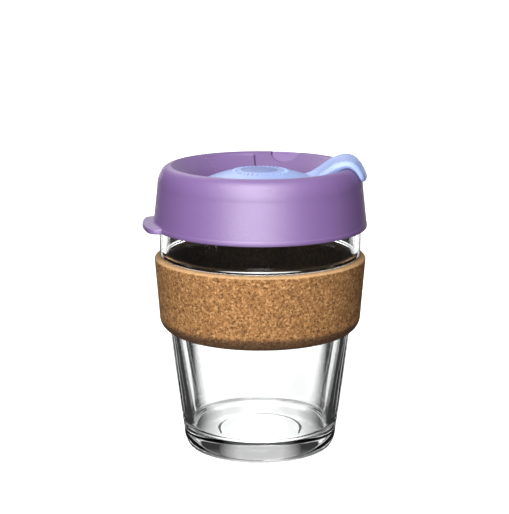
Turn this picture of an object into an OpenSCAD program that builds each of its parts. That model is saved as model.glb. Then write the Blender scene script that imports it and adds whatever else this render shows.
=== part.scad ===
// Reusable takeaway cup: glass cup, cork heat band, press-on lid and a turning sip plug.
// Millimetres, +Z up, origin at the centre of the base. The sip hole and the plug's arm are at +X.

/* [Glass] */
// Radius of the ring that the cup stands on
base_r = 28.1; // [26:0.1:29.5]
// Radius of the shallow hollow under the base
punt_r = 17.7; // [12:0.1:22]
// Depth of the shallow hollow under the base
punt_depth = 1.0; // [0.6:0.1:2]
// Radius where the rounded foot meets the tapered wall
foot_r = 32.0; // [31:0.1:33]
// Height of the rounded foot
foot_h = 7.8; // [6:0.1:9]
// Outer radius at the top of the taper, where the cork band ends
waist_r = 40.3; // [39.8:0.1:40.6]
// How far the tapered wall bows outwards
wall_bow = 0.6; // [0:0.1:1]
// Outer radius of the straight neck above the taper
neck_r = 41.4; // [41.2:0.05:41.5]
// Thickness of the wall at the neck
neck_wall = 2.2; // [1.8:0.1:2.4]
// Thickness of the wall just above the floor
low_wall = 3.9; // [2.6:0.1:4.4]
// Thickness of the glass floor
floor_t = 9.0; // [6:0.1:10]
// Height of the glass rim
rim_z = 110; // [109.5:0.1:110.4]

/* [Cork band] */
// Height of the band's lower edge
band_z0 = 50.2; // [48:0.1:54]
// Height of the band's upper edge
band_z1 = 81.2; // [80.6:0.1:81.4]
// Outer radius just under the bevelled upper edge
band_top_r = 43.6; // [43:0.1:44]
// Outer radius above the rounded lower edge
band_low_r = 41.7; // [41:0.1:42.2]
// Gap between the cork and the glass
band_gap = 0.12; // [0.08:0.01:0.3]

/* [Lid] */
// Outer radius at the lid's lower edge
lid_r = 44.0; // [43.8:0.1:44.6]
// Height of the lid's lower edge
lid_z0 = 93.3; // [92:0.1:95]
// Radius of the lid's crest
crest_r = 36.8; // [36.4:0.1:37.2]
// Height of the lid's crest
crest_z = 118.7; // [118.4:0.1:119]
// Height of the bowl's floor
bowl_z = 109.5; // [109.2:0.1:109.6]
// Radius of the hole in the bowl's floor that carries the plug
hub_r = 4.2; // [3.6:0.1:5]
// How far the thumb tab stands out of the lid
tab_out = 4.4; // [3:0.1:6]
// Half the angle between the centres of the tab's round corners
tab_half_a = 13.5; // [10:0.5:18]
// Direction of the thumb tab, from +X
tab_a = 189; // [170:1:200]
// Length of the sip hole round the lid
sip_len = 13.6; // [12:0.1:14]
// Width of the sip hole
sip_w = 5.0; // [4.6:0.1:5.2]
// Direction of the U-shaped scoop in the bowl's wall, from +X
scoop_a = 74.5; // [60:0.5:84]
// Half the width of the scoop
scoop_r = 6.5; // [4:0.1:8]
// Depth of the scoop
scoop_depth = 0.9; // [0.4:0.05:1]
// Direction of the first step line in the bowl's wall, from +X
panel_a0 = 95.5; // [90:0.5:104]
// Direction of the second step line
panel_a1 = 134.5; // [122:0.5:150]
// Depth of the shallow panel between the two step lines
panel_depth = 0.35; // [0.2:0.05:0.6]

/* [Plug] */
// Radius of the plug's disc
disc_r = 24.0; // [23.5:0.1:24.8]
// Height of the top of the disc's dome
dome_z = 117.3; // [116.8:0.1:117.6]
// Width of the arm that lies over the rim
arm_w = 22; // [18:0.5:26]
// Distance from the axis to the line where the arm flexes
flex_x = 19.6; // [18.5:0.1:20]
// Number of short raised ribs round the disc's dish
ribs = 36; // [1:1:50]
// Running clearance of the plug's stud in the hub hole
stud_gap = 0.08; // [0.04:0.01:0.1]

/* [Hidden] */
$fn = 96;
// sizes that follow from the ones above
sphere_r = 54;                        // z = dome_z - r^2 / (2 * sphere_r) over the disc
stud_r = hub_r - stud_gap;
shoulder_a = crest_r + 5.3;           // outer radius where the lid's side meets its shoulder
shoulder_z = crest_z - 8.24;          // height of that line
split = 0.3;                          // gap round the arm where it leaves the disc
// bowl wall from the crest inwards: [radius, height]
bowl = [[35.9, crest_z - 0.35], [34.9, crest_z - 0.95], [33.3, crest_z - 2.0], [31.5, crest_z - 3.3],
        [29.4, crest_z - 4.95], [27.3, crest_z - 6.85], [26.0, crest_z - 8.2], [25.3, bowl_z + 0.35]];
scoop_pitch = 36;                     // slope of the scoop's floor, in degrees
rim_r = 39.3;                         // radius of the glass rim's highest line
rim_w = 1.0;                          // half thickness of the rounded rim
lid_gap = 0.2;                        // gap between the glass neck and the lid's skirt
// outside of the glass neck under the lid, from low to high: [radius, height]
neck = [[neck_r, 96], [neck_r - 0.25, 102], [rim_r + rim_w, rim_z - rim_w]];

// points on an elliptical arc: centre (cx, cz), semi-axes a and b, from angle t0 to t1
function arc(cx, cz, a, b, t0, t1, n = 8) =
    [for (i = [0 : n]) let (t = t0 + (t1 - t0) * i / n) [cx + a * cos(t), cz + b * sin(t)]];

// outer radius of the glass at height z on the taper
function taper_r(z) = let (t = (z - foot_h) / (band_z1 - foot_h))
    foot_r + (waist_r - foot_r) * t + 4 * wall_bow * t * (1 - t);

// outer radius of the lid's side at height z
function side_r(z) = lid_r + (shoulder_a - lid_r) * (z - lid_z0) / (shoulder_z - lid_z0);

function reversed(p) = [for (i = [len(p) - 1 : -1 : 0]) p[i]];
function shifted(p, dr, dz) = [for (q = p) [q[0] + dr, q[1] + dz]];

// a pie slice of a rotated profile, centred on direction a0 and spanning +-half degrees
module slice(points, a0, half) {
    rotate([0, 0, a0 - half]) rotate_extrude(angle = 2 * half) polygon(points);
}

module glass_cup() {
    wall_z = [foot_h, 20, 35, band_z0, 60, 70, band_z1];
    corner = 2.5;                     // radius of the inside corner at the floor
    inside = [for (z = [floor_t + corner, 20, 35, band_z0, 60, 70, band_z1 - 1]) [taper_r(z) - low_wall
              + (low_wall - neck_wall) * (z - foot_h) / (band_z1 - foot_h), z]];
    color([0.86, 0.90, 0.90, 0.35])
    rotate_extrude() polygon(concat(
        [[0, punt_depth], [punt_r - 1.6, punt_depth], [punt_r, 0]],
        arc(base_r, foot_h, foot_r - base_r, foot_h, -90, 0, 8),
        [for (i = [1 : len(wall_z) - 1]) [taper_r(wall_z[i]), wall_z[i]]],
        arc(neck_r - 1.1, band_z1 + 1.4, 1.1, 1.4, -80, 0, 5),
        neck,
        arc(rim_r, rim_z - rim_w, rim_w, rim_w, 15, 180, 8),
        [[neck_r - neck_wall, 100], [neck_r - neck_wall, band_z1 + 2]],
        reversed([for (i = [1 : len(inside) - 1]) inside[i]]),
        arc(inside[0][0] - corner, floor_t + corner, corner, corner, 0, -90, 5),
        [[0, floor_t]]));
}

module cork_band() {
    bevel = 1.25;                     // height of the rounded upper edge
    low_h = 6.3;                      // height of the rounded lower edge
    low_in = 7.3;                     // full radial length of the lower edge's ellipse
    cz = band_z0 - 0.6 + low_h;
    inner_z = [band_z0, 60, 70, band_z1];
    color([0.74, 0.55, 0.36])
    rotate_extrude() polygon(concat(
        reversed([for (z = inner_z) [taper_r(z) + band_gap, z]]),
        arc(band_low_r - low_in, cz, low_in, low_h, -60, 0, 8),
        arc(band_top_r - 1.9, band_z1 - bevel, 1.9, bevel, 0, 90, 6)));
}

// everything of the lid that goes round it, before the tab, the holes and the scoop
module lid_ring() {
    skin = 1.7;                       // thickness of the shell
    lip_r = rim_r - rim_w - 0.35;     // outer radius of the lip that seals inside the glass
    lip_z = 98.5;                     // height of that lip's lower edge
    roof_z = rim_z + 0.2;             // underside of the channel that takes the glass rim
    rib_z = [103, 106];               // sealing ribs round the lip
    rotate_extrude() polygon(concat(
        [[neck_r + 0.25, lid_z0 + 0.5], [neck_r + 0.75, lid_z0], [lid_r - 0.5, lid_z0],
         [lid_r - 0.06, lid_z0 + 0.5]],
        arc(crest_r, shoulder_z, 5.3, 8.24, 0, 100, 12),
        bowl,
        [[24.9, bowl_z], [hub_r, bowl_z], [hub_r, bowl_z - skin], [24.3, bowl_z - skin]],
        reversed([for (i = [1 : len(bowl) - 2]) bowl[i] + [0.95, -1.45]]),
        [[lip_r - 1.6, crest_z - 4], [lip_r - 1.5, crest_z - 6], [lip_r - 1.5, lip_z + 0.4],
         [lip_r - 1.1, lip_z], [lip_r - 0.6, lip_z], [lip_r, lip_z + 1.4]],
        [for (z = rib_z, q = [[0, -0.5], [0.2, -0.15], [0.2, 0.15], [0, 0.5]]) [lip_r + q[0], z + q[1]]],
        [[lip_r, roof_z], [rim_r + rim_w + lid_gap, roof_z]],
        reversed(shifted(neck, lid_gap, 0))));
}

// the thumb tab, standing out towards -X
module thumb_tab() {
    t = 2.2;                          // thickness of the tab
    c = 0.6;                          // its rounded edges
    r0 = 43.0;
    profile = [[r0, lid_z0], [lid_r + tab_out - c, lid_z0], [lid_r + tab_out - c * 0.3, lid_z0 + c * 0.3],
               [lid_r + tab_out, lid_z0 + c], [lid_r + tab_out, lid_z0 + t - c],
               [lid_r + tab_out - c * 0.3, lid_z0 + t - c * 0.3],
               [lid_r + tab_out - c, lid_z0 + t], [r0, lid_z0 + t]];
    difference() {
        union() {
            slice(profile, 180, tab_half_a);
            for (s = [-1, 1]) rotate([0, 0, 180 + s * tab_half_a]) translate([lid_r, 0, 0])
                rotate_extrude() polygon([for (p = profile) [max(0, p[0] - lid_r), p[1]]]);
        }
        translate([0, 0, lid_z0 - 1]) cylinder(r = r0, h = t + 2);
    }
}

module lid_shell() {
    color([0.70, 0.61, 0.80])
    difference() {
        union() {
            lid_ring();
            rotate([0, 0, tab_a - 180]) thumb_tab();
        }
        // sip hole, straight down through the bowl's wall
        for (s = [-1, 1]) translate([30.8, s * (sip_len - sip_w) / 2, 106]) cylinder(r = sip_w / 2, h = 14);
        translate([30.8 - sip_w / 2, -(sip_len - sip_w) / 2, 106]) cube([sip_w, sip_len - sip_w, 14]);
        // air hole in the bowl's floor, opposite the sip hole
        translate([-20.5, 0, 106]) cylinder(r = 1.1, h = 5);
        // shallow panel in the bowl's wall between two step lines
        slice(concat([for (i = [1 : 6]) bowl[i] + [-0.5, 0.75]],
                     reversed([for (i = [1 : 6]) bowl[i] + panel_depth * [0.55, -0.83]])),
              (panel_a0 + panel_a1) / 2, (panel_a1 - panel_a0) / 2);
        // U-shaped scoop cut into the rim's inner edge
        rotate([0, 0, scoop_a]) translate([31.4, 0, crest_z - 3.35]) rotate([0, -scoop_pitch, 0])
        translate([0, 0, -scoop_depth]) {
            translate([scoop_r, 0, 0]) cylinder(r = scoop_r, h = 8);
            translate([scoop_r, -scoop_r, 0]) cube([8, 2 * scoop_r, 8]);
        }
    }
}

// dome height at radius r
function dome(r) = dome_z - r * r / (2 * sphere_r);

module plug_disc() {
    skin = 1.9;                       // thickness of the disc's shell
    dish_r = 8.0;                     // radius of the plain shallow dish
    dish_d = 0.35;                    // its depth
    ring_r = 11.0;                    // radius of the ring of ribs
    rib = [2.2, 0.7, 0.2];            // length, width and height of one rib
    foot_z = bowl_z + 0.35;           // lowest line of the disc's edge
    color([0.68, 0.76, 0.87]) {
        difference() {
            union() {
                rotate_extrude() polygon(concat(
                    [[0, dome(0) - dish_d]],
                    [for (r = [3, 6, dish_r - 0.5]) [r, dome(r) - dish_d]],
                    [for (r = [dish_r, 11, 14, 17, 20, 22, disc_r - 0.9]) [r, dome(r)]],
                    arc(disc_r - 0.9, dome(disc_r - 0.9) - 0.9, 0.9, 0.9, 80, 0, 4),
                    [[disc_r - 0.1, foot_z], [disc_r - 1.6, foot_z]],
                    [[disc_r - 2.1, dome(disc_r - 2.1) - skin]],
                    [for (r = [19, 15, 11]) [r, dome(r) - skin - 0.3]],
                    [[7.2, dome(7.2) - skin - 0.6], [6.4, bowl_z + 0.35], [stud_r, bowl_z + 0.35],
                     [stud_r, bowl_z - 1.85], [stud_r + 0.75, bowl_z - 2.4], [stud_r - 0.5, bowl_z - 4.6],
                     [0, bowl_z - 4.6]]));
                for (i = [0 : ribs - 1]) rotate([0, 0, (i + 0.5) * 360 / ribs])
                    translate([ring_r, 0, dome(ring_r)]) rotate([0, atan(ring_r / sphere_r), 0])
                    translate([-rib[0] / 2, -rib[1] / 2, -0.4]) cube(rib + [0, 0, 0.4]);
            }
            // slots that let the stud's end spring through the hub hole
            for (a = [45, 135]) rotate([0, 0, a]) translate([-8, -0.5, bowl_z - 6]) cube([16, 1, 6]);
            // room for the arm
            translate([flex_x, -arm_w / 2 - split, bowl_z]) cube([10, arm_w + 2 * split, 10]);
        }
    }
}

module plug_arm() {
    tip_z = 113.2;                    // height of the tip's lower edge
    corner = 2.6;                     // radius of the tip's corners
    // upper surface from the flex line out over the rim and down to the tip: [radius, height]
    top = [[flex_x - 2, dome(flex_x - 2) - 0.15], [21.5, 113.9], [23.2, 114.6], [25.5, 116.3], [28.2, 118.45],
           [31.2, 120.35], [34.2, 121.6], [36.3, 121.9], [38.2, 121.7], [39.6, 121.15], [41, 120],
           [42.3, 118.3], [43.1, 116.8], [43.6, 115.4], [43.75, 114.3], [43.55, 113.6], [43.1, 113.2]];
    // under surface, a small gap above the lid and the sip hole
    under = concat([[42.6, 113.25]], arc(crest_r, shoulder_z, 5.85, 8.62, 21, 86, 8),
            [[36, 118.9], [34.9, 118.25], [33.3, 117.2], [31.5, 115.85], [29.4, 114.2], [27.3, 112.5],
             [25.5, 112.0], [21.5, 111.65], [flex_x - 2, 111.6]]);
    color([0.68, 0.76, 0.87])
    intersection() {
        slice(concat(top, under), 0, 46);
        // the arm's width, with round corners at the tip
        union() {
            translate([flex_x + split, -arm_w / 2, 100]) cube([33 - flex_x - split, arm_w, 30]);
            translate([33, 0, 0]) rotate([90, 0, 90]) linear_extrude(17) polygon(concat(
                [[arm_w / 2, 130], [-arm_w / 2, 130]],
                arc(corner - arm_w / 2, tip_z + corner, corner, corner + 0.05, 180, 270, 5),
                arc(arm_w / 2 - corner, tip_z + corner, corner, corner + 0.05, 270, 360, 5)));
        }
    }
}

glass_cup();
cork_band();
lid_shell();
plug_disc();
plug_arm();
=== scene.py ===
import math

import bmesh
import bpy
import numpy as np
from mathutils import Matrix, Vector


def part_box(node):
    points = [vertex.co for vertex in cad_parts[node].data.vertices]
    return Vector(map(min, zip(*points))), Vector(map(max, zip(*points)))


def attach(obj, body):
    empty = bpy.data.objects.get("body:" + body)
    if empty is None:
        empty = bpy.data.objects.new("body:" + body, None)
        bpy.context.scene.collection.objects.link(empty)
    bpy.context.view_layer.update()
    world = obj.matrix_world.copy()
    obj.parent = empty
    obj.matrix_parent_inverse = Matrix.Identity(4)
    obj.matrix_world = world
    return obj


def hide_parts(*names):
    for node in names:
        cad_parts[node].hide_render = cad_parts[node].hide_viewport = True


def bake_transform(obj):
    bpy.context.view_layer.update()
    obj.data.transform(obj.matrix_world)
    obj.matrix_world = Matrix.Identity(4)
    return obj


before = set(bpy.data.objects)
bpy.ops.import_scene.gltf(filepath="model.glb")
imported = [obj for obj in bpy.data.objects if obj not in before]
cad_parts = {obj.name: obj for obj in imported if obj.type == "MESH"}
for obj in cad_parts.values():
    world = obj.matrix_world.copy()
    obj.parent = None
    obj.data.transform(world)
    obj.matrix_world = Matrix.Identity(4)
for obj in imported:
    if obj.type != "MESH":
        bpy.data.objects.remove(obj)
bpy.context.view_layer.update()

MM = 0.001


def mm_box(node):
    """A CAD node's lowest and highest corners in millimetres."""
    lo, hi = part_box(node)
    return np.array(lo) / MM, np.array(hi) / MM


# ---------------------------------------------------------------- sizes, in millimetres and degrees
glass_hi = mm_box("glass_cup")[1]
band_lo, band_hi = mm_box("cork_band")
lid_lo, lid_hi = mm_box("lid_shell")
arm_hi = mm_box("plug_arm")[1]

# glass
RIM_Z, NECK_R = float(glass_hi[2]), float(glass_hi[0])
BASE_R, FOOT_R, FOOT_H = 28.1, 32.0, 7.8
WAIST_R, WALL_BOW = 40.3, 0.6
NECK_WALL, LOW_WALL, FLOOR_T, FLOOR_CORNER = 2.2, 3.9, 9.0, 3.4
PUNT_R, PUNT_DEPTH, PUNT_STEP, PUNT_FILLET = 17.7, 0.7, 0.9, 0.35
RIM_R, RIM_W = 39.3, 1.0
LEDGE_IN, LEDGE_H = 1.1, 1.4              # the round ledge above the cork band
NECK = [(NECK_R, 96), (NECK_R - 0.25, 102), (RIM_R + RIM_W, RIM_Z - RIM_W)]

# cork band
BAND_Z0, BAND_Z1, BAND_TOP_R = float(band_lo[2]), float(band_hi[2]), float(band_hi[0])
BAND_LOW_R, BAND_GAP = 41.7, 0.12
BAND_LOW_H, BAND_LOW_IN = 6.3, 7.3        # the round lower edge
BEVEL_H, BEVEL_IN = 1.25, 1.9
CORK_MEAN_R, CORK_DIRECTIONS = 42.5, 880
GRANULE_SIZE, PIT_SIZE, FINE_SIZE = 0.95, 1.9, 1.0         # cells of the cork's relief
GRANULE_DEPTH, SEAM_DEPTH, PIT_DEPTH, FINE_DEPTH = 0.03, 0.03, 0.25, 0.14
PIT_FROM, FINE_FROM = 0.7, 0.62           # cells whose random number is above this have a pit

# lid
LID_Z0, CREST_Z = float(lid_lo[2]), float(lid_hi[2])
LID_R, CREST_R, SHOULDER_DR, SHOULDER_DZ = 44.0, 36.8, 5.3, 8.24
SHOULDER_Z = CREST_Z - SHOULDER_DZ
BOWL_Z, BOWL_T, HUB_R = 109.5, 1.7, 4.2
BOWL = [(35.7, CREST_Z - 0.3), (34.9, CREST_Z - 0.8), (33.3, CREST_Z - 2.0), (31.5, CREST_Z - 3.3),
        (29.4, CREST_Z - 4.95), (27.3, CREST_Z - 6.85), (26.0, CREST_Z - 8.2), (25.3, BOWL_Z + 0.35)]
BOWL_IN, BOWL_DOWN = 0.55, 0.83           # direction into the bowl's wall, outwards and down
LID_GAP = 0.2                             # between the glass rim and the lid's channel
LIP_R, LIP_Z = RIM_R - RIM_W - 0.35, 98.5
SCOOP_A, SCOOP_R, SCOOP_DEPTH, SCOOP_PITCH = 74.5, 6.5, 1.0, 34.0
SCOOP_X, SCOOP_Z, SCOOP_REACH = 31.4, CREST_Z - 3.35, 9.0
PANEL_A0, PANEL_A1, PANEL_DEPTH = 96.5, 134.5, 0.35
MM_PER_DEG = 0.55                         # along the bowl's wall
TAB_A, TAB_OUT, TAB_HALF_A, TAB_T, TAB_EDGE = 189.0, 4.4, 13.5, 2.2, 0.7
SIP_R, SIP_LEN, SIP_W = 30.8, 13.6, 5.0
AIR_X, AIR_R = -20.5, 1.1
DRILL_Z0, SIP_DRILL_Z1, AIR_DRILL_Z1 = 104.0, 124.0, 113.0

# sip plug
DISC_R, SPHERE_R, DOME_Z = 24.0, 54.0, 117.3
PLUG_SKIN, PLUG_FOOT_Z = 1.9, BOWL_Z + 0.35
STUD_R, STUD_END_Z, SLOT_LEN, SLOT_W = HUB_R - 0.08, BOWL_Z - 4.6, 16, 1.0
DISH_R, DISH_DEPTH = 8.0, 0.35
RIBS, RIB_R, RIB_HALF_LEN, RIB_HALF_W, RIB_H, RIB_SUNK = 36, 11.0, 1.1, 0.36, 0.45, 0.12
VOXEL = 0.3
ARM_HALF_W, ARM_CORNER = float(arm_hi[1]) + 0.4, 2.6
ARM_TOP = [(15.0, 112.9), (17.0, 113.6), (19.0, 113.6), (20.4, 113.6), (21.6, 113.9), (23.2, 114.6),
           (25.5, 116.3), (28.2, 118.45), (31.2, 120.5), (34.2, 121.85), (36.3, 122.15), (38.2, 121.9),
           (39.6, 121.3), (41.0, 119.95), (42.2, 118.3), (43.0, 116.8), (43.5, 115.4), (43.7, 114.3),
           (43.55, 113.6), (43.1, 113.25)]
ARM_UNDER = [(15.0, 111.0), (17.0, 111.4), (19.0, 111.5), (21.0, 111.6), (24, 112.0), (26.0, 112.4),
             (27.3, 112.6), (29.4, 113.95), (31.5, 115.6), (33.3, 116.95), (34.9, 118.0), (36.0, 118.55),
             (37.1, 118.72), (38.2, 118.45), (39.3, 117.75), (40.25, 116.8), (41.0, 115.75), (41.6, 114.7),
             (41.95, 113.95), (42.5, 113.35)]


# ---------------------------------------------------------------- profile and mesh tools
def smooth(t):
    t = np.clip(t, 0.0, 1.0)
    return t * t * (3 - 2 * t)


def arc(cx, cz, a, b, t0, t1, n):
    """Points of an elliptical arc as (radius, height, no fillet)."""
    t = np.radians(np.linspace(t0, t1, n + 1))
    return [(cx + a * math.cos(x), cz + b * math.sin(x), 0) for x in t]


def rounded(points, steps=6):
    """A polyline through [(radius, height, fillet)], each corner replaced by a small curve."""
    out = []
    for i, p in enumerate(points):
        c = np.array(p[:2], float)
        fillet = p[2] if len(p) > 2 else 0
        if fillet <= 0 or i in (0, len(points) - 1):
            out.append(c)
            continue
        u = np.array(points[i - 1][:2], float) - c
        v = np.array(points[i + 1][:2], float) - c
        lu, lv = np.linalg.norm(u), np.linalg.norm(v)
        d = min(fillet, 0.49 * lu, 0.49 * lv)
        p0, p2 = c + u / lu * d, c + v / lv * d
        for t in np.linspace(0, 1, steps + 1):
            out.append((1 - t) ** 2 * p0 + 2 * t * (1 - t) * c + t * t * p2)
    return np.array(out)


def densify(poly, step):
    """Adds points so that no side is longer than step."""
    out = []
    for a, b in zip(poly[:-1], poly[1:]):
        k = max(1, int(math.ceil(np.linalg.norm(b - a) / step)))
        out += [a + (b - a) * j / k for j in range(k)]
    return np.array(out + [poly[-1]])


def lengths(points):
    """Distance along a polyline to each of its points."""
    return np.concatenate([[0], np.cumsum(np.linalg.norm(np.diff(points, axis=0), axis=1))])


def spline(points, n):
    """A smooth curve through the points, sampled evenly."""
    p = np.array(points, float)
    d = lengths(p)
    q = np.concatenate([[2 * p[0] - p[1]], p, [2 * p[-1] - p[-2]]])
    out = []
    for s in np.linspace(0, d[-1], n):
        i = min(len(p) - 2, int(np.searchsorted(d, s, side="right")) - 1)
        t = (s - d[i]) / (d[i + 1] - d[i])
        a, b, c, e = q[i], q[i + 1], q[i + 2], q[i + 3]
        out.append(0.5 * (2 * b + (c - a) * t + (2 * a - 5 * b + 4 * c - e) * t * t
                          + (3 * b - a - 3 * c + e) * t ** 3))
    return np.array(out)


def shade_smooth(me):
    me.polygons.foreach_set("use_smooth", [True] * len(me.polygons))


def make_mesh(name, verts_mm, faces):
    me = bpy.data.meshes.new(name)
    me.from_pydata((np.asarray(verts_mm) * MM).tolist(), [], faces)
    me.update()
    ob = bpy.data.objects.new(name, me)
    bpy.context.collection.objects.link(ob)
    bm = bmesh.new()
    bm.from_mesh(me)
    bmesh.ops.recalc_face_normals(bm, faces=bm.faces)
    bm.to_mesh(me)
    bm.free()
    shade_smooth(me)
    return ob


def turned_ring(name, R, Z, az):
    """A ring from radius and height grids [direction, point of a closed section]."""
    na, nk = R.shape
    verts = np.stack([R * np.cos(az)[:, None], R * np.sin(az)[:, None], Z], -1).reshape(-1, 3)
    faces = []
    for i in range(na):
        j = (i + 1) % na
        for k in range(nk):
            m = (k + 1) % nk
            faces.append((i * nk + k, j * nk + k, j * nk + m, i * nk + m))
    return make_mesh(name, verts, faces)


def lathe(name, poly, n):
    """A solid of revolution from a section that starts and ends on the axis."""
    az = np.linspace(0, 2 * math.pi, n, endpoint=False)[:, None]
    R, Z = poly[None, 1:-1, 0], np.repeat(poly[None, 1:-1, 1], n, 0)
    m = len(poly) - 2
    rings = np.stack([R * np.cos(az), R * np.sin(az), Z], -1).reshape(-1, 3)
    verts = np.concatenate([rings, [[0, 0, poly[0, 1]], [0, 0, poly[-1, 1]]]])
    first, last = n * m, n * m + 1
    faces = []
    for i in range(n):
        j = (i + 1) % n
        faces.append((first, j * m, i * m))
        faces.append((last, i * m + m - 1, j * m + m - 1))
        for k in range(m - 1):
            faces.append((i * m + k, j * m + k, j * m + k + 1, i * m + k + 1))
    return make_mesh(name, verts, faces)


def prism(outline, z0, z1):
    n = len(outline)
    verts = [(x, y, z) for z in (z0, z1) for x, y in outline]
    faces = [tuple(range(n)), tuple(range(2 * n - 1, n - 1, -1))]
    faces += [(i, (i + 1) % n, (i + 1) % n + n, i + n) for i in range(n)]
    return make_mesh("cutter", verts, faces)


def boolean(ob, operation, other):
    m = ob.modifiers.new(operation.lower(), "BOOLEAN")
    m.operation, m.solver, m.object = operation, "EXACT", other


def apply_modifiers(ob, used):
    """Applies ob's modifiers, shades it smooth, and deletes the objects that they used."""
    dg = bpy.context.evaluated_depsgraph_get()
    me = bpy.data.meshes.new_from_object(ob.evaluated_get(dg))
    old = ob.data
    ob.modifiers.clear()
    ob.data = me
    bpy.data.meshes.remove(old)
    for other in used:
        bpy.data.objects.remove(other)
    shade_smooth(ob.data)


def cut(ob, cutters):
    for c in cutters:
        boolean(ob, "DIFFERENCE", c)
    apply_modifiers(ob, cutters)


def point_values(ob, **values):
    """Stores one number a vertex under each name, for the material to read."""
    for key, data in values.items():
        at = ob.data.attributes.new(key, "FLOAT", "POINT")
        at.data.foreach_set("value", data.reshape(-1).astype(np.float32))


# ---------------------------------------------------------------- glass cup
def taper_r(z):
    """Outer radius of the glass on its taper."""
    t = (z - FOOT_H) / (BAND_Z1 - FOOT_H)
    return FOOT_R + (WAIST_R - FOOT_R) * t + 4 * WALL_BOW * t * (1 - t)


def bore_r(z):
    """Inner radius of the glass on its taper, where the wall thins towards the neck."""
    return taper_r(z) - LOW_WALL + (LOW_WALL - NECK_WALL) * (z - FOOT_H) / (BAND_Z1 - FOOT_H)


def build_glass():
    wall_z = list(range(20, 77, 8))
    floor_z = FLOOR_T + FLOOR_CORNER
    bore = NECK_R - NECK_WALL
    points = [(0, PUNT_DEPTH), (PUNT_R - PUNT_STEP, PUNT_DEPTH, PUNT_FILLET), (PUNT_R, 0.0, PUNT_FILLET)]
    points += arc(BASE_R, FOOT_H, FOOT_R - BASE_R, FOOT_H, -90, 0, 20)
    points += [(taper_r(z), z) for z in wall_z]
    points += [(WAIST_R, BAND_Z1, 0.8)]
    points += arc(NECK_R - LEDGE_IN, BAND_Z1 + LEDGE_H, LEDGE_IN, LEDGE_H, -70, 0, 10)
    points += [(r, z, fillet) for (r, z), fillet in zip(NECK, (3, 3, 0.5))]
    points += arc(RIM_R, RIM_Z - RIM_W, RIM_W, RIM_W, 12, 180, 14)
    points += [(bore, 100, 3), (bore, BAND_Z1 + 2, 1.2)]
    points += [(bore_r(z), z, 1.2) for z in reversed(wall_z + [BAND_Z1 - 1])]
    points += arc(bore_r(floor_z) - FLOOR_CORNER, floor_z, FLOOR_CORNER, FLOOR_CORNER, 0, -90, 16)
    points += [(0, FLOOR_T)]
    return lathe("clear_glass_cup", densify(rounded(points), 1.2), 256)


# ---------------------------------------------------------------- cork band
def cell_noise(s, t, size, period, seed):
    """Distances to the nearest and second nearest cell centres, and the nearest cell's random number.
    s repeats after period."""
    rng = np.random.RandomState(seed)
    ns = max(3, int(round(period / size)))
    sx = period / ns
    nt = int(np.ceil((t.max() - t.min()) / size)) + 4
    jit = rng.rand(ns, nt, 2)
    val = rng.rand(ns, nt)
    gi = np.floor(s / sx).astype(int)
    gj = np.floor((t - t.min()) / size).astype(int) + 1
    f1 = np.full(s.shape, 1e9)
    f2 = np.full(s.shape, 1e9)
    best = np.zeros(s.shape)
    for di in (-1, 0, 1):
        for dj in (-1, 0, 1):
            i, j = gi + di, np.clip(gj + dj, 0, nt - 1)
            ii = i % ns
            cx = (i + 0.1 + 0.8 * jit[ii, j, 0]) * sx
            cy = (j - 1 + 0.1 + 0.8 * jit[ii, j, 1]) * size + t.min()
            d = np.hypot(s - cx, t - cy)
            nearer = d < f1
            f2 = np.where(nearer, f1, np.minimum(f2, d))
            best = np.where(nearer, val[ii, j], best)
            f1 = np.where(nearer, d, f1)
    return f1, f2, best


def cork_section():
    """The band's section: the visible face with its edges, and the hidden back against the glass."""
    back = [(taper_r(z) + BAND_GAP, z) for z in np.linspace(BAND_Z1, BAND_Z0, 8)]
    low_z = BAND_Z0 - 0.6 + BAND_LOW_H
    low = arc(BAND_LOW_R - BAND_LOW_IN, low_z, BAND_LOW_IN, BAND_LOW_H, -64, 0, 24)
    low = [p for p in low if p[0] > back[-1][0] + 0.1]
    top = arc(BAND_TOP_R - BEVEL_IN, BAND_Z1 - BEVEL_H, BEVEL_IN, BEVEL_H, 0, 90, 12)
    face = densify(rounded([back[-1]] + low + top + [back[0]]), 0.3)
    return face, densify(np.array(back), 1.5)[1:-1]


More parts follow.
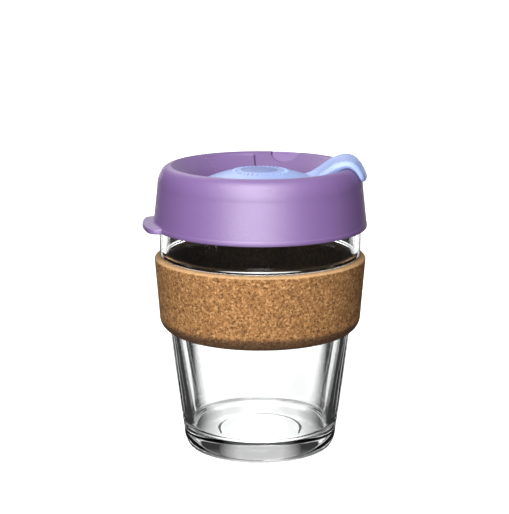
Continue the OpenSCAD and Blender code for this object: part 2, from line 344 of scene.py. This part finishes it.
def build_cork():
    face, back = cork_section()
    poly = np.concatenate([face, back])
    nk = len(face)
    az = np.linspace(0, 2 * math.pi, CORK_DIRECTIONS, endpoint=False)
    S, T = np.meshgrid(az * CORK_MEAN_R, lengths(poly), indexing="ij")
    period = 2 * math.pi * CORK_MEAN_R
    # the outline of the granules wanders, so the cells are looked up at shaken places
    around = S * 2 * math.pi / period
    shake_s = np.sin(around * 97 + T * 2.1) + np.sin(T * 5.3 + 0.6 * np.sin(around * 61))
    shake_t = np.sin(around * 83 - T * 1.7) + np.cos(T * 3.9)
    s, t = (S + 0.12 * shake_s) % period, T + 0.12 * shake_t
    near, next_near, granule = cell_noise(s, t, GRANULE_SIZE, period, 12)
    seam = np.exp(-np.clip(next_near - near, 0, 9) / 0.07)
    s, t = S + 0.15 * shake_t, T + 0.15 * shake_s
    near, _, luck = cell_noise(s, t, PIT_SIZE, period, 13)
    pit = np.where(luck > PIT_FROM, smooth(1.25 - near / (0.28 + 0.5 * (luck - PIT_FROM))), 0.0)
    near, _, luck = cell_noise(S, T, FINE_SIZE, period, 14)
    fine = np.where(luck > FINE_FROM, smooth(1.25 - near / (0.16 + 0.3 * (luck - FINE_FROM))), 0.0)
    # relief only cuts in, and fades out at both ends of the face
    h = GRANULE_DEPTH * (granule - 0.5) - SEAM_DEPTH * seam - PIT_DEPTH * pit - FINE_DEPTH * fine
    h[:, nk:] = 0
    h[:, :nk] *= smooth(np.minimum(np.arange(nk), np.arange(nk)[::-1]) / 4.0)[None, :]
    h = np.minimum(h, 0.0)
    tangent = np.gradient(poly, axis=0)
    normal = np.stack([tangent[:, 1], -tangent[:, 0]], -1)
    normal /= np.linalg.norm(normal, axis=1)[:, None] + 1e-9
    R, Z = [poly[None, :, k] + normal[None, :, k] * h for k in (0, 1)]
    # painted shade: darker on the back against the glass and towards the lower edge; lighter on the top bevel
    inner, worn = np.zeros_like(h), np.zeros_like(h)
    inner[:, nk:] = 1.0
    inner[:, :nk] = 0.85 * smooth((BAND_Z0 + 7.0 - face[:, 1]) / 2.8)[None, :] ** 2
    worn[:, :nk] = smooth((face[:, 1] - (BAND_Z1 - BEVEL_H * 0.75)) / 0.35)[None, :]
    ob = turned_ring("cork_heat_band", R, Z, az)
    point_values(ob, granule=granule, pit=np.clip(pit + 0.9 * fine, 0, 1), inner=inner, worn=worn)
    return ob


# ---------------------------------------------------------------- lid
def lid_directions():
    """Directions of the lid's mesh, closer together round the scoop, the step lines and the tab."""
    deg = [np.arange(0, 360, 1.0), np.arange(SCOOP_A - 14, SCOOP_A + 14, 0.2),
           np.arange(TAB_A - 22, TAB_A + 22, 0.4)]
    deg += [np.arange(a - 1.2, a + 1.2, 0.08) for a in (PANEL_A0, PANEL_A1)]
    return np.radians(np.unique(np.round(np.concatenate(deg), 3)))


def lid_side_r(z):
    a = CREST_R + SHOULDER_DR
    return LID_R + (a - LID_R) * (z - LID_Z0) / (SHOULDER_Z - LID_Z0)


def lid_section():
    """The section above the tab: side and shoulder up to the crest, bowl, and underside back to the skirt."""
    side = [(lid_side_r(z), z) for z in np.linspace(LID_Z0 + 4.0, SHOULDER_Z, 16)]
    side += arc(CREST_R, SHOULDER_Z, SHOULDER_DR, SHOULDER_DZ, 3, 98, 40)
    bowl = [(r, z, 0.8) for r, z in [(36.3, CREST_Z - 0.07)] + BOWL]
    bowl += [(24.9, BOWL_Z, 0.4), (22.0, BOWL_Z)]
    under_z = BOWL_Z - BOWL_T
    under = [(22.0, BOWL_Z), (HUB_R, BOWL_Z, 0.3), (HUB_R, under_z, 0.3), (24.3, under_z, 0.6)]
    under += [(r + 0.95, z - 1.45) for r, z in reversed(BOWL[1:-1])]
    under += [(LIP_R - 1.6, CREST_Z - 4, 1.0), (LIP_R - 1.5, CREST_Z - 6), (LIP_R - 1.5, LIP_Z + 0.4, 0.4),
              (LIP_R - 1.1, LIP_Z, 0.3), (LIP_R - 0.6, LIP_Z, 0.4), (LIP_R, LIP_Z + 1.4, 0.6)]
    for z in (103, 106):                  # two sealing ribs
        under += [(LIP_R, z - 0.5, 0.2), (LIP_R + 0.2, z, 0.3), (LIP_R, z + 0.5, 0.2)]
    under += [(LIP_R, RIM_Z + LID_GAP, 0.4), (RIM_R + RIM_W + LID_GAP, RIM_Z + LID_GAP, 0.4)]
    under += [(r + LID_GAP, z, 0.5) for r, z in reversed(NECK)]
    return np.array([p[:2] for p in side]), densify(rounded(bowl), 0.35), densify(rounded(under), 2.0)[1:]


def tab_reach(az):
    """How far the thumb tab stands out of the lid's side in each direction."""
    d = (np.degrees(az) - TAB_A + 180.0) % 360.0 - 180.0
    over = np.radians(np.clip(np.abs(d) - TAB_HALF_A, 0, 90)) * LID_R
    return np.where(over < TAB_OUT, np.sqrt(np.clip(TAB_OUT ** 2 - over ** 2, 0, None)), 0.0)


def tab_grid(az):
    """Radius and height grids of the lid's lower edge, which runs out into the thumb tab."""
    n_flat, n_round, n_back = 8, 12, 8
    reach = tab_reach(az)
    inner, edge = NECK_R + 0.75, LID_R - TAB_EDGE + reach
    rows = []
    for t in np.linspace(0, 1, n_flat, endpoint=False):         # flat lower face
        rows.append((inner + (edge - inner) * t, LID_Z0 + 0.3 * (1 - smooth(t * 4))))
    for a in np.radians(np.linspace(-90, 90, n_round)):         # round outer edge
        c, s = math.cos(a), math.sin(a)
        rows.append((edge + TAB_EDGE * c ** 0.7,
                     LID_Z0 + TAB_T / 2 + TAB_T / 2 * np.sign(s) * abs(s) ** 0.8))
    for t in np.linspace(0, 1, n_back + 1)[1:]:                 # top face, back to the side
        rows.append((LID_R - TAB_EDGE + reach * (1 - t), LID_Z0 + TAB_T + 0.9 * t ** 3))
    R = np.array([r for r, _ in rows]).T
    Z = np.repeat(np.array([[z for _, z in rows]]), len(az), 0)
    upper = slice(n_flat + n_round // 2, None)
    z = Z[:, upper]
    fillet = 0.5 * np.clip(reach, 0, 1)[:, None] * np.exp(-(z - LID_Z0 - TAB_T) / 0.3)
    side = np.where(z > LID_Z0 + TAB_T * 0.97, lid_side_r(z) + fillet, lid_side_r(z))
    R[:, upper] = np.maximum(R[:, upper], side)
    return R, Z


def press_panel(R, Z, az, top_side):
    """Presses the panel between the two step lines, and a groove along each line, into the bowl's wall.
    Returns the new grids and how near the crease each point is, which sets the painted shade in the creases."""
    deg = np.degrees(az)[:, None]
    on_bowl = smooth((R - 25.8) / 0.8) * smooth((35.6 - R) / 1.6) * (Z > BOWL_Z + 0.2)
    off_line = np.minimum(np.abs(deg - PANEL_A0), np.abs(deg - PANEL_A1)) * MM_PER_DEG
    panel = smooth((deg - PANEL_A0) / 0.35) * smooth((PANEL_A1 - deg) / 0.35) * on_bowl
    panel = np.where(top_side, panel + 1.5 * np.exp(-(off_line / 0.2) ** 2) * on_bowl, 0)
    crease = np.where(top_side, np.exp(-(off_line / 0.3) ** 2) * on_bowl, 0.0)
    return R + panel * PANEL_DEPTH * BOWL_IN, Z - panel * PANEL_DEPTH * BOWL_DOWN, crease


def press_scoop(R, Z, az, top_side):
    """Presses the scoop into the crest. u runs up the bowl's wall, v round it, and n stands off it.
    Returns the new grids, what has moved (painted lighter), and how near the crease each point is (painted
    shade)."""
    a, pitch = math.radians(SCOOP_A), math.radians(SCOOP_PITCH)
    X, Y = R * np.cos(az)[:, None], R * np.sin(az)[:, None]
    X1 = X * math.cos(a) + Y * math.sin(a) - SCOOP_X
    Z1 = Z - SCOOP_Z
    V = -X * math.sin(a) + Y * math.cos(a)
    U = X1 * math.cos(pitch) + Z1 * math.sin(pitch)
    N = -X1 * math.sin(pitch) + Z1 * math.cos(pitch)
    inside = np.where(U < SCOOP_R, SCOOP_R - np.hypot(U - SCOOP_R, V), SCOOP_R - np.abs(V))
    at_scoop = top_side * (np.abs(V) < SCOOP_REACH) * (U > -1)
    drop = smooth((inside + 0.12) / 0.25) * at_scoop * np.clip(N + SCOOP_DEPTH, 0, None)
    moved = drop > 0
    crease = np.exp(-(inside / 0.3) ** 2) * at_scoop * (N > -SCOOP_DEPTH)
    N = N - drop
    X1 = U * math.cos(pitch) - N * math.sin(pitch) + SCOOP_X
    Z1 = U * math.sin(pitch) + N * math.cos(pitch) + SCOOP_Z
    X, Y = X1 * math.cos(a) - V * math.sin(a), X1 * math.sin(a) + V * math.cos(a)
    return np.where(moved, np.hypot(X, Y), R), np.where(moved, Z1, Z), moved, crease


def lid_holes():
    half = (SIP_LEN - SIP_W) / 2
    sip = [(SIP_R + s * SIP_W / 2 * math.sin(t), s * (half + SIP_W / 2 * math.cos(t)))
           for s in (1, -1) for t in np.linspace(math.pi / 2, -math.pi / 2, 17)]
    air = [(AIR_X + AIR_R * math.cos(t), AIR_R * math.sin(t))
           for t in np.linspace(0, 2 * math.pi, 24, endpoint=False)]
    return [prism(sip, DRILL_Z0, SIP_DRILL_Z1), prism(air, DRILL_Z0, AIR_DRILL_Z1)]


def build_lid():
    az = lid_directions()
    side, bowl, under = lid_section()
    section = np.concatenate([side, bowl, under])
    tab_r, tab_z = tab_grid(az)
    R = np.concatenate([tab_r, np.repeat(section[None, :, 0], len(az), 0)], 1)
    Z = np.concatenate([tab_z, np.repeat(section[None, :, 1], len(az), 0)], 1)
    # the bowl and the last rows of the shoulder, up to the crest, take the panel and the scoop
    bowl_start, shoulder_rows = tab_r.shape[1] + len(side), 18
    top_side = np.zeros_like(R, bool)
    top_side[:, bowl_start - shoulder_rows:bowl_start + len(bowl)] = True
    R, Z, panel_crease = press_panel(R, Z, az, top_side)
    R, Z, scooped, scoop_crease = press_scoop(R, Z, az, top_side)
    ob = turned_ring("press_on_lid", R, Z, az)
    # scooped carries the painted light in the scoop, crease the painted shade in the creases
    point_values(ob, scooped=scooped, crease=np.clip(panel_crease + scoop_crease, 0, 1))
    cut(ob, lid_holes())
    return ob


# ---------------------------------------------------------------- sip plug: one soft moulding
def dome(r):
    return DOME_Z - r * r / (2 * SPHERE_R)


def build_disc():
    """The domed disc with its pressed dish, its hub and the stud that clips into the lid; build_plug cuts the
    stud's slots.
    """
    points = [(r, dome(r) - DISH_DEPTH) for r in (0, 2.5, 4.5, 6)]
    points += [(DISH_R - 0.6, dome(DISH_R - 0.6) - DISH_DEPTH, 0.5), (DISH_R, dome(DISH_R), 0.5)]
    points += [(r, dome(r)) for r in range(10, 23, 2)]
    points += [(DISC_R, dome(DISC_R), 1.3), (DISC_R - 0.1, PLUG_FOOT_Z, 0.5),
               (DISC_R - 1.7, PLUG_FOOT_Z, 0.5), (DISC_R - 2.2, dome(DISC_R - 2.2) - PLUG_SKIN, 0.6)]
    points += [(r, dome(r) - PLUG_SKIN - 0.3) for r in (19, 15, 11)]
    points += [(7.2, dome(7.2) - PLUG_SKIN - 0.6, 0.8), (6.4, PLUG_FOOT_Z, 0.3), (STUD_R, PLUG_FOOT_Z, 0.2),
               (STUD_R, BOWL_Z - 1.85, 0.2), (STUD_R + 0.75, BOWL_Z - 2.4, 0.3),
               (STUD_R - 0.5, STUD_END_Z, 0.5), (0, STUD_END_Z)]
    return lathe("plug_body", densify(rounded(points), 0.8), 200)


def stud_slots():
    """Two crossed slots that let the stud's end spring."""
    corners = [(sx * SLOT_LEN / 2, sy * SLOT_W / 2) for sx, sy in ((-1, -1), (1, -1), (1, 1), (-1, 1))]
    slots = []
    for a in (45, 135):
        c, s = math.cos(math.radians(a)), math.sin(math.radians(a))
        slots.append(prism([(x * c - y * s, x * s + y * c) for x, y in corners], STUD_END_Z - 1.4, BOWL_Z))
    return slots


def build_arm():
    """The arm: its top and under lines swept over its width, bent round the lid's axis."""
    n, m = 96, 33
    top, under = spline(ARM_TOP, n), spline(ARM_UNDER, n)
    length = float(np.linalg.norm(np.diff(top, axis=0), axis=1).sum())
    u = np.linspace(-1, 1, m)
    edge = 1 - np.abs(u) ** 16                         # 0 at the arm's sides, where both faces meet
    ring = [(j, top, under) for j in range(m)] + [(j, under, top) for j in range(m - 2, 0, -1)]
    verts = []
    for i in range(n):
        left = length * (1 - i / (n - 1))              # mm of arm still to come
        half = ARM_HALF_W
        if left < ARM_CORNER:
            half -= ARM_CORNER - math.sqrt(max(0.0, ARM_CORNER ** 2 - (ARM_CORNER - left) ** 2))
        for j, near, far in ring:
            y, hold = u[j] * half, 0.5 * edge[j] ** 0.5
            x, z = near[i] * (0.5 + hold) + far[i] * (0.5 - hold)
            verts.append((math.sqrt(max(1.0, x ** 2 - y * y)), y, z))
    k = len(ring)
    faces = [tuple(range(k)), tuple(range(n * k - 1, (n - 1) * k - 1, -1))]
    for a in range(0, (n - 1) * k, k):
        faces += [(a + p, a + (p + 1) % k, a + k + (p + 1) % k, a + k + p) for p in range(k)]
    return make_mesh("plug_arm_body", verts, faces)


def build_ribs():
    """The ring of short ribs that gives the thumb a grip."""
    lon, lat = 14, 5
    verts, faces = [], []
    for i in range(RIBS):
        a = 2 * math.pi * (i + 0.5) / RIBS
        base = len(verts)
        for q in range(lat):
            e = q / lat * math.pi / 2
            for p in range(lon):
                t = 2 * math.pi * p / lon
                x = RIB_HALF_LEN * np.sign(math.cos(t)) * abs(math.cos(t)) ** 0.7 * math.cos(e) ** 0.6
                y = RIB_HALF_W * np.sign(math.sin(t)) * abs(math.sin(t)) ** 0.8 * math.cos(e) ** 0.6
                r = RIB_R + x
                verts.append((r * math.cos(a) - y * math.sin(a), r * math.sin(a) + y * math.cos(a),
                              dome(r) - RIB_SUNK + RIB_H * math.sin(e)))
        verts.append((RIB_R * math.cos(a), RIB_R * math.sin(a), dome(RIB_R) + RIB_H - RIB_SUNK))
        faces.append(tuple(base + p for p in reversed(range(lon))))
        for q in range(lat - 1):
            b = base + q * lon
            faces += [(b + p, b + (p + 1) % lon, b + lon + (p + 1) % lon, b + lon + p) for p in range(lon)]
        b = base + (lat - 1) * lon
        faces += [(b + p, b + (p + 1) % lon, b + lon) for p in range(lon)]
    return make_mesh("plug_ribs", verts, faces)


def build_plug():
    plug = build_disc()
    arm = build_arm()
    cut(plug, stud_slots())
    boolean(plug, "UNION", arm)
    skin = plug.modifiers.new("skin", "REMESH")
    skin.mode, skin.voxel_size = "VOXEL", VOXEL * MM
    soften = plug.modifiers.new("soften", "SMOOTH")
    soften.factor, soften.iterations = 0.5, 4
    apply_modifiers(plug, [arm])
    ribs = build_ribs()
    boolean(plug, "UNION", ribs)
    apply_modifiers(plug, [ribs])
    plug.name = "soft_sip_plug"
    return plug


# ---------------------------------------------------------------- materials
def material(name):
    m = bpy.data.materials.new(name)
    m.use_nodes = True
    nt = m.node_tree
    return m, nt, nt.nodes["Principled BSDF"]


def put(node, values):
    """Sets plain values on a node's own sockets. A colour is given as three numbers."""
    for key, value in values.items():
        is_colour = node.inputs[key].type == "RGBA"
        node.inputs[key].default_value = (*value, 1) if is_colour else value


def object_coords(nt):
    return nt.nodes.new("ShaderNodeTexCoord").outputs["Object"]


def attribute(nt, name):
    n = nt.nodes.new("ShaderNodeAttribute")
    n.attribute_name = name
    return n.outputs["Fac"]


def noise_tex(nt, coord, scale, detail):
    n = nt.nodes.new("ShaderNodeTexNoise")
    put(n, {"Scale": scale, "Detail": detail, "Roughness": 0.5})
    nt.links.new(coord, n.inputs["Vector"])
    return n.outputs["Fac"]


def voronoi(nt, coord, scale):
    """The distance to the nearest cell, and two random numbers for that cell."""
    v = nt.nodes.new("ShaderNodeTexVoronoi")
    put(v, {"Scale": scale})
    nt.links.new(coord, v.inputs["Vector"])
    split = nt.nodes.new("ShaderNodeSeparateColor")
    nt.links.new(v.outputs["Color"], split.inputs["Color"])
    return v.outputs["Distance"], split.outputs["Red"], split.outputs["Green"]


def ramp(nt, src, stops):
    r = nt.nodes.new("ShaderNodeValToRGB")
    while len(r.color_ramp.elements) < len(stops):
        r.color_ramp.elements.new(0.5)
    for e, (p, c) in zip(r.color_ramp.elements, stops):
        e.position = p
        e.color = (c, c, c, 1) if isinstance(c, (int, float)) else (*c, 1)
    nt.links.new(src, r.inputs["Fac"])
    return r.outputs["Color"]


def maths(nt, op, a, b):
    n = nt.nodes.new("ShaderNodeMath")
    n.operation = op
    for i, v in enumerate((a, b)):
        if isinstance(v, (int, float)):
            n.inputs[i].default_value = v
        else:
            nt.links.new(v, n.inputs[i])
    return n.outputs[0]


def tinted(nt, amount, strength, colour, tint):
    """colour, turned towards tint by amount times strength."""
    n = nt.nodes.new("ShaderNodeMix")
    n.data_type, n.blend_type = "RGBA", "MIX"
    nt.links.new(maths(nt, "MULTIPLY", amount, strength), n.inputs["Factor"])
    nt.links.new(colour, n.inputs["A"])
    n.inputs["B"].default_value = (*tint, 1)
    return n.outputs["Result"]


def bump(nt, src, strength, distance, shader):
    b = nt.nodes.new("ShaderNodeBump")
    put(b, {"Strength": strength, "Distance": distance})
    nt.links.new(src, b.inputs["Height"])
    nt.links.new(b.outputs["Normal"], shader.inputs["Normal"])


def see_through(nt, shader, where):
    """Makes the material clear where the given value is 1."""
    clear = nt.nodes.new("ShaderNodeBsdfTransparent")
    mix = nt.nodes.new("ShaderNodeMixShader")
    nt.links.new(where, mix.inputs["Fac"])
    nt.links.new(shader.outputs["BSDF"], mix.inputs[1])
    nt.links.new(clear.outputs["BSDF"], mix.inputs[2])
    nt.links.new(mix.outputs["Shader"], nt.nodes["Material Output"].inputs["Surface"])


def glass_material():
    m, nt, b = material("clear_glass")
    co = object_coords(nt)
    put(b, {"Base Color": (0.985, 0.995, 0.99), "Transmission Weight": 1.0, "IOR": 1.5})
    wipe = ramp(nt, noise_tex(nt, co, 60, 4), [(0.45, 0.0), (0.8, 0.035)])
    nt.links.new(wipe, b.inputs["Roughness"])
    bump(nt, noise_tex(nt, co, 28, 1), 0.25, 0.0006, b)
    return m


def lid_painted_light_and_shade(nt, co, colour):
    """Painted light and shade: the scoop is painted a little lighter, and the creases are painted dark."""
    colour = tinted(nt, attribute(nt, "scooped"), 0.35, colour, (0.30, 0.19, 0.42))
    return tinted(nt, attribute(nt, "crease"), 0.85, colour, (0.03, 0.015, 0.05))


def dish_painted_shade(nt, co, colour):
    """Painted shade: the pressed dish is painted a little darker."""
    flat = nt.nodes.new("ShaderNodeVectorMath")
    flat.operation = "MULTIPLY"
    flat.inputs[1].default_value = (1, 1, 0)
    nt.links.new(co, flat.inputs[0])
    away = nt.nodes.new("ShaderNodeVectorMath")
    away.operation = "LENGTH"
    nt.links.new(flat.outputs["Vector"], away.inputs[0])
    cm = maths(nt, "MULTIPLY", away.outputs["Value"], 100.0)
    return tinted(nt, ramp(nt, cm, [(0.72, 1.0), (0.84, 0.0)]), 0.75, colour, (0.11, 0.14, 0.37))


def plastic_material(name, colour, deep, tint, rough, grain, grain_strength, sub, ior):
    m, nt, b = material(name)
    co = object_coords(nt)
    body = ramp(nt, noise_tex(nt, co, 35, 3), [(0.3, deep), (0.7, colour)])
    nt.links.new(tint(nt, co, body), b.inputs["Base Color"])
    fine = noise_tex(nt, co, grain, 2)
    nt.links.new(ramp(nt, fine, [(0.3, rough - 0.05), (0.7, rough + 0.05)]), b.inputs["Roughness"])
    bump(nt, fine, grain_strength, 0.0002, b)
    put(b, {"Subsurface Weight": sub, "Subsurface Radius": (0.9, 0.7, 1.0), "Subsurface Scale": 0.0015,
            "IOR": ior})
    return m


def cork_material():
    m, nt, b = material("agglomerated_cork")
    co = object_coords(nt)
    _, grain, grain_speck = voronoi(nt, co, 1150)
    crumb_distance, crumb, crumb_speck = voronoi(nt, co, 2200)
    tone = maths(nt, "ADD", maths(nt, "MULTIPLY", grain, 0.42),
                 maths(nt, "ADD", maths(nt, "MULTIPLY", crumb, 0.40),
                       maths(nt, "MULTIPLY", attribute(nt, "granule"), 0.18)))
    body = ramp(nt, tone, [(0.10, (0.085, 0.037, 0.012)), (0.38, (0.235, 0.109, 0.036)),
                           (0.62, (0.31, 0.152, 0.052)), (0.90, (0.50, 0.28, 0.122))])
    speck = maths(nt, "MAXIMUM", maths(nt, "GREATER_THAN", grain_speck, 0.92),
                  maths(nt, "GREATER_THAN", crumb_speck, 0.90))
    near = ramp(nt, crumb_distance, [(0.30, 1.0), (0.62, 0.35)])
    dark = maths(nt, "MAXIMUM", maths(nt, "MULTIPLY", speck, near), attribute(nt, "pit"))
    colour = tinted(nt, dark, 0.88, body, (0.050, 0.020, 0.008))
    # lighter on the top bevel
    colour = tinted(nt, attribute(nt, "worn"), 0.55, colour, (0.60, 0.38, 0.19))
    # painted shade on the back against the glass and towards the lower edge
    colour = tinted(nt, attribute(nt, "inner"), 0.85, colour, (0.035, 0.018, 0.010))
    nt.links.new(colour, b.inputs["Base Color"])
    put(b, {"Roughness": 0.85, "Specular IOR Level": 0.25})
    bump(nt, tone, 0.5, 0.00018, b)
    return m


# ---------------------------------------------------------------- pieces
glass = build_glass()
glass.data.materials.append(glass_material())
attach(glass, "cup")
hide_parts("glass_cup")

cork = build_cork()
cork.data.materials.append(cork_material())
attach(cork, "band")
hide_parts("cork_band")

lid = build_lid()
lid.data.materials.clear()
lid.data.materials.append(plastic_material(
    "satin_purple_plastic", (0.157, 0.088, 0.236), (0.149, 0.082, 0.226), lid_painted_light_and_shade,
    rough=0.45, grain=2600, grain_strength=0.45, sub=0.0, ior=1.8))
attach(lid, "lid")
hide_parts("lid_shell")

plug = build_plug()
plug.data.materials.clear()
plug.data.materials.append(plastic_material(
    "soft_blue_plastic", (0.275, 0.355, 0.63), (0.255, 0.335, 0.61), dish_painted_shade,
    rough=0.42, grain=3000, grain_strength=0.15, sub=0.15, ior=1.5))
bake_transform(plug)
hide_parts("plug_disc", "plug_arm")

# ---------------------------------------------------------------- floor and camera, in metres
scene = bpy.context.scene
CAM_TURN = math.radians(2.6)              # the camera stands a little to the arm's side
CAM_SHIFT, CAM_DISTANCE = -0.0023, 0.64646
CAM_Z, AIM_Z = 0.22131, 0.07997
LENS, SENSOR = 111.94, 36                 # millimetres
FLOOR_SIZE, FLOOR_Z, CARD_Z = 12, -0.0002, -0.0001


def flat_mesh(name, verts, faces, loc, mat, fades=None):
    """A stage surface. fades gives each vertex how clear a card is there, from 0 to 1."""
    me = bpy.data.meshes.new(name)
    me.from_pydata(verts, [], faces)
    if fades:
        me.attributes.new("fade", "FLOAT", "POINT").data.foreach_set("value", fades)
    me.materials.append(mat)
    ob = bpy.data.objects.new(name, me)
    ob.location = loc
    scene.collection.objects.link(ob)
    return ob


def plane(name, size_x, size_y, loc, mat, fades=None):
    x, y = size_x / 2, size_y / 2
    return flat_mesh(name, [(-x, -y, 0), (x, -y, 0), (x, y, 0), (-x, y, 0)], [(0, 1, 2, 3)], loc, mat, fades)


def floor_material():
    """Bright and matt from above, clear from below."""
    m, nt, b = material("pale_floor")
    put(b, {"Base Color": (0.9, 0.9, 0.9), "Roughness": 0.9, "Emission Color": (1, 1, 1),
            "Emission Strength": 1.0})
    see_through(nt, b, nt.nodes.new("ShaderNodeNewGeometry").outputs["Backfacing"])
    return m


floor = plane("floor", FLOOR_SIZE, FLOOR_SIZE, (0, 0, FLOOR_Z), floor_material())

cam = bpy.data.objects.new("camera", bpy.data.cameras.new("camera"))
scene.collection.objects.link(cam)
cam.data.sensor_width = SENSOR
cam.data.lens = LENS
cam.data.clip_start, cam.data.clip_end = 0.01, 50
target = Vector((CAM_SHIFT * math.cos(CAM_TURN), CAM_SHIFT * math.sin(CAM_TURN), AIM_Z))
cam.location = (CAM_SHIFT * math.cos(CAM_TURN) + CAM_DISTANCE * math.sin(CAM_TURN),
                CAM_SHIFT * math.sin(CAM_TURN) - CAM_DISTANCE * math.cos(CAM_TURN), CAM_Z)
cam.rotation_euler = (target - cam.location).to_track_quat("-Z", "Y").to_euler()
scene.camera = cam


# ---------------------------------------------------------------- lamps and dark cards, in metres
def with_camera(ob):
    """Turns ob with the camera and hangs it on it, so that every view is lit like the first one."""
    bpy.context.view_layer.update()
    ob.matrix_world = Matrix.Rotation(CAM_TURN, 4, "Z") @ ob.matrix_world
    bpy.context.view_layer.update()
    ob.parent = cam
    ob.matrix_parent_inverse = cam.matrix_world.inverted()


def card_material():
    m, nt, b = material("black_card")
    put(b, {"Base Color": (0.01, 0.01, 0.01), "Emission Color": (1, 1, 1), "Emission Strength": 0.03,
            "Roughness": 1.0, "Specular IOR Level": 0.0})
    see_through(nt, b, attribute(nt, "fade"))
    return m


card_mat = card_material()


def seen(ob, seen_by):
    """Neither the camera nor a shadow ray sees a card. seen_by names the other rays that do."""
    ob.visible_camera = ob.visible_shadow = False
    ob.visible_diffuse = "diffuse" in seen_by
    ob.visible_glossy = "glossy" in seen_by
    ob.visible_transmission = "glass" in seen_by
    with_camera(ob)


def card(name, size_x, size_y, loc, rot, seen_by, fades=None):
    ob = plane(name, size_x, size_y, loc, card_mat, fades)
    ob.rotation_euler = [math.radians(v) for v in rot]
    seen(ob, seen_by)


def grid_faces(rows, cols):
    return [(r * cols + c, r * cols + c + 1, r * cols + cols + c + 1, r * cols + cols + c)
            for r in range(rows - 1) for c in range(cols - 1)]


def floor_card(name, side):
    """A black card on the floor beside the cup. Its soft inner edge runs away from the cup, and behind the
    cup it has a light gap."""
    # y, inner edge, and the two sides of the gap
    rows = [(-0.30, 0.045, 0.10, 0.10), (-0.12, 0.030, 0.07, 0.07), (-0.03, 0.016, 0.04, 0.04),
            (0.02, 0.016, 0.04, 0.04), (0.035, 0.0235, 0.040, 0.044), (0.07, 0.032, 0.048, 0.060),
            (0.15, 0.044, 0.070, 0.095), (0.25, 0.056, 0.10, 0.14)]
    outer_edge, edge_w = 0.9, 0.012
    verts, fades = [], []
    for y, x, gap0, gap1 in rows:
        clear = 0.75 if gap1 > gap0 else 0.0
        cols = [(x, 1.0), (x + edge_w, 0.0), (gap0, 0.0), (gap0 + 0.002, clear), (gap1 - 0.0015, clear),
                (gap1 + 0.001, 0.0), (outer_edge, 0.0)]
        verts += [(side * cx, y, 0) for cx, _ in cols]
        fades += [f for _, f in cols]
    return flat_mesh(name, verts, grid_faces(len(rows), len(cols)), (0, 0, CARD_Z), card_mat, fades)


def heel_shadow_card():
    """A painted shadow: a soft grey crescent on the floor behind the cup's base, standing in for the shade
    there.
    """
    rings = [(0.0350, 1.0), (0.0370, 0.5), (0.0430, 0.5), (0.0455, 1.0)]     # radius, how clear
    steps = [math.radians(a) for a in range(20, 161, 5)]
    verts = [(r * math.cos(a), r * math.sin(a), 0) for a in steps for r, _ in rings]
    fades = [f for _ in steps for _, f in rings]
    faces = grid_faces(len(steps), len(rings))
    return flat_mesh("heel_shadow_card", verts, faces, (0, 0, CARD_Z), card_mat, fades)


for side, word in ((-1, "left"), (1, "right")):
    card("card_" + word, 0.7, 0.8, (side * 0.24, 0.0, 0.2), (0, -90 * side, 0), ("diffuse", "glossy"))
    card("low_card_" + word, 0.09, 0.22, (side * 0.075, 0.03, 0.045), (0, -90 * side, 0), ("diffuse",))
    seen(floor_card("floor_card_" + word, side), ("glossy", "glass"))
    card("neck_card_" + word, 0.140, 0.32, (side * 0.108, 0.47, CARD_Z), (0, 0, 0), ("glossy", "glass"))
    card("far_card_" + word, 1.1, 0.9, (side * 0.80, 0.60, 0.46), (90, 0, 0), ("glass",))
    card("far_edge_" + word, 0.14, 0.9, (side * 0.18, 0.60, 0.46), (90, 0, 0), ("glass",),
         [1.0, 0.0, 0.0, 1.0] if side > 0 else [0.0, 1.0, 1.0, 0.0])
seen(heel_shadow_card(), ("glossy", "glass"))
card("card_front", 0.7, 0.42, (0, -0.45, 0.003), (0, 0, 0), ("glossy", "glass"))
card("card_under", 4.0, 4.0, (0, 0, 0.001), (0, 0, 0), ("diffuse",))


def area(name, loc, aim_z, size_x, size_y, watts):
    """A soft lamp aimed at a point on the cup's axis."""
    li = bpy.data.lights.new(name, "AREA")
    li.shape, li.size, li.size_y, li.energy = "RECTANGLE", size_x, size_y, watts
    ob = bpy.data.objects.new(name, li)
    ob.location = loc
    ob.rotation_euler = (Vector((0, 0, aim_z)) - Vector(loc)).to_track_quat("-Z", "Y").to_euler()
    scene.collection.objects.link(ob)
    with_camera(ob)


area("low", (-0.16, -0.80, 0.17), 0.09, 1.00, 0.28, 6.0)
area("key", (-0.13, -0.80, 0.44), 0.09, 0.60, 0.42, 4.2)
area("high", (-0.11, -0.46, 0.72), 0.1, 0.60, 0.22, 6.0)
area("rim", (-0.30, 0.80, 0.66), 0.1, 0.60, 0.25, 1.8)
area("back", (0.0, 1.30, 0.03), 0.1, 1.00, 0.12, 3.0)

world = bpy.data.worlds.new("studio")
scene.world = world
world.use_nodes = True
put(world.node_tree.nodes["Background"], {"Color": (1, 1, 1), "Strength": 0.55})
scene.view_settings.view_transform = "Standard"
scene.view_settings.look = "None"
